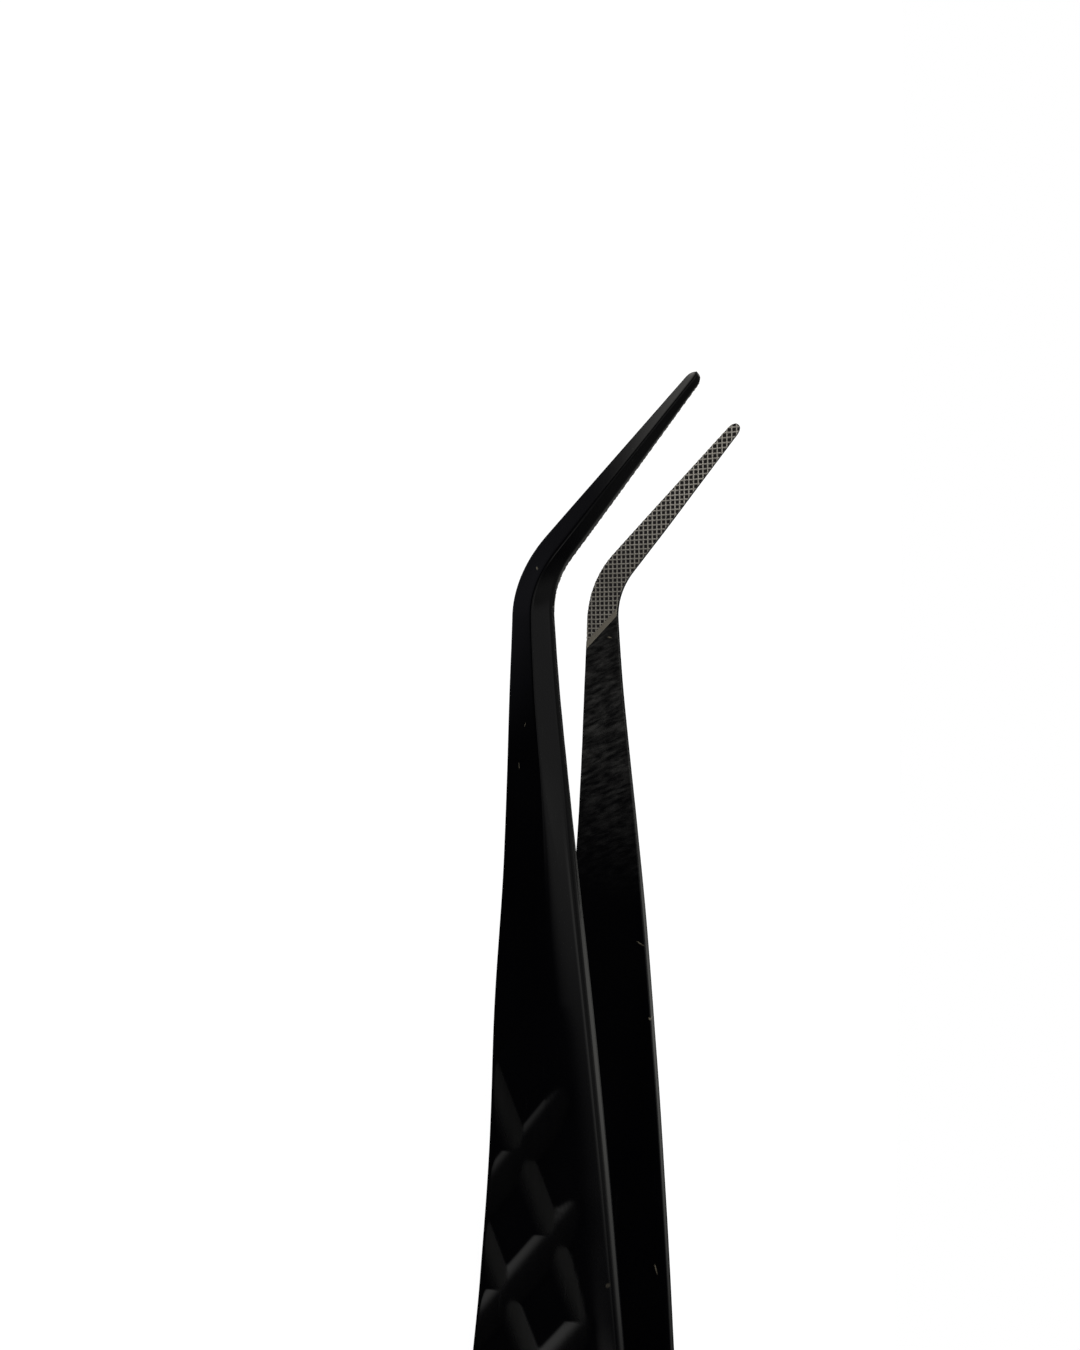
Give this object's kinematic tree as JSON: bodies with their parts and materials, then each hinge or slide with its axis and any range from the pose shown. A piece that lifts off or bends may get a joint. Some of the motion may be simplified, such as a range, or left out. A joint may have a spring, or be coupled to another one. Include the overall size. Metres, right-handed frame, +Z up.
{
  "type": "angled lash tweezers",
  "caption": "Black angled lash tweezers: two sprung arms welded at the tail, diamond-cut handles and bent fine tips with etched grip pads inside.",
  "frame": {"origin": "centre of the footprint under the open tweezers, on the surface they lie on", "axes": "+X from the welded tail to the tips; the arms open along Y, mirror images about y = 0; +Z up, the way the tips bend"},
  "size_m": [0.1305, 0.013, 0.0134],
  "materials": {
    "black_coating": "satin black ceramic-like coating on ground steel",
    "etched_steel": "fine laser-etched crosshatch, bare steel",
    "weld_metal": "dull spot-weld metal"
  },
  "bodies": {
    "welded_tail": {"near_tail": "black_coating", "far_tail": "black_coating", "weld_nugget_rear": "weld_metal", "weld_nugget_front": "weld_metal"},
    "near_arm": {"near_spring_leaf": "black_coating", "near_handle": "black_coating", "near_shank": "black_coating", "near_bent_tip": "black_coating", "near_tip_pad": "etched_steel"},
    "far_arm": {"far_spring_leaf": "black_coating", "far_handle": "black_coating", "far_shank": "black_coating", "far_bent_tip": "black_coating", "far_tip_pad": "etched_steel"}
  },
  "joints": [
    {"name": "near_arm_squeeze", "type": "hinge", "parent": "welded_tail", "child": "near_arm", "pos_m": [-0.046, 0.00094, 0.0049], "axis": [0, 0, -1], "range_deg": [0, 2.56], "stiffness_Nm_per_rad": 1.2, "deforming": ["near_spring_leaf"]},
    {"name": "far_arm_squeeze", "type": "hinge", "parent": "welded_tail", "child": "far_arm", "pos_m": [-0.046, -0.00094, 0.0049], "axis": [0, 0, 1], "range_deg": [0, 2.56], "stiffness_Nm_per_rad": 1.2, "deforming": ["far_spring_leaf"]}
  ]
}
